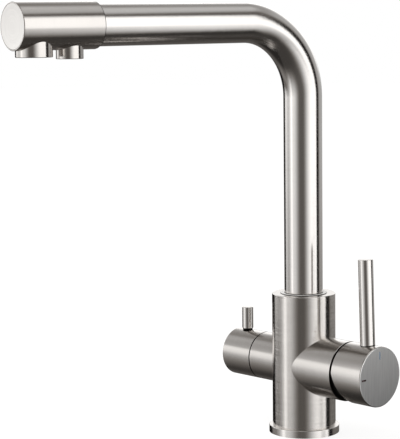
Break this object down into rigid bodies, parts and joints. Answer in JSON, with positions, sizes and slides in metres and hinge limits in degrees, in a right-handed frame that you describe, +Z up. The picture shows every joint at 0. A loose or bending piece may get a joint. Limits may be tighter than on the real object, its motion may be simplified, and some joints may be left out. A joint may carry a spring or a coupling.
{
  "type": "kitchen tap",
  "caption": "Deck mounted kitchen tap with a swivelling right angle spout, a side mixer lever, and a separate valve and outlet for filtered water.",
  "frame": {"origin": "on the worktop, at the middle of the body, in the mouth of the fixing stud's thread", "axes": "+Z up along the body; +X out along the mixer branch; -X out along the filter valve's branch; -Y towards the user and the bowl"},
  "size_m": [0.1379, 0.2561, 0.3063],
  "materials": {
    "brushed": "brushed satin, fine lines round each turned piece",
    "brass": "machined",
    "screw_steel": "machined stainless",
    "rubber": "matt black",
    "white_plastic": "smooth white",
    "grey_plastic": "moulded grey",
    "tube_plastic": "milky drinking water tube",
    "ceramic": "polished ceramic disc",
    "blue_mark": "glossy blue",
    "red_mark": "glossy dark red"
  },
  "bodies": {
    "tap_base": {"tap_body": "brushed", "base_ring": "brushed", "base_gasket": "rubber", "inlet_manifold": "brass", "inlet_seals": "rubber", "spout_bush": "white_plastic", "spout_grub_screw": "screw_steel", "mixer_cartridge": "grey_plastic", "cartridge_seals": "rubber", "cartridge_nut": "brass", "mixer_fixed_disc": "ceramic", "valve_headwork": "brass", "valve_seal": "rubber", "valve_fixed_disc": "ceramic"},
    "spout": {"spout_tube": "brushed", "spout_spigot": "brass", "spigot_seals": "rubber", "filtered_tube": "tube_plastic", "filtered_tube_seal": "rubber", "spout_head": "brushed", "head_end_cap": "brushed", "main_outlet_collar": "brushed", "aerator_insert": "grey_plastic", "aerator_seal": "rubber", "filter_outlet_collar": "brushed", "filter_nozzle": "grey_plastic", "filter_elbow": "brass"},
    "mixer_carrier": {"cartridge_spindle": "grey_plastic", "mixer_moving_disc": "ceramic", "pivot_pin": "screw_steel"},
    "mixer_handle": {"mixer_stem": "brass", "mixer_cap": "brushed", "mixer_lever": "brushed", "mixer_set_screw": "screw_steel", "cold_mark": "blue_mark", "hot_mark": "red_mark"},
    "filter_handle": {"valve_spindle": "brass", "valve_moving_disc": "ceramic", "filter_knob": "brushed", "filter_lever": "brushed", "knob_set_screw": "screw_steel"}
  },
  "joints": [
    {"name": "spout_swivel", "type": "hinge", "parent": "tap_base", "child": "spout", "pos_m": [0, 0, 0.09], "axis": [0, 0, 1], "continuous": true},
    {"name": "mixer_turn", "type": "hinge", "parent": "tap_base", "child": "mixer_carrier", "pos_m": [0.034, 0, 0.0494], "axis": [1, 0, 0], "range_deg": [0, 90]},
    {"name": "mixer_lift", "type": "hinge", "parent": "mixer_carrier", "child": "mixer_handle", "pos_m": [0.034, 0, 0.0494], "axis": [0, 1, 0], "range_deg": [0, 20]},
    {"name": "filter_turn", "type": "hinge", "parent": "tap_base", "child": "filter_handle", "pos_m": [-0.05, 0, 0.0494], "axis": [1, 0, 0], "range_deg": [0, 90]}
  ]
}
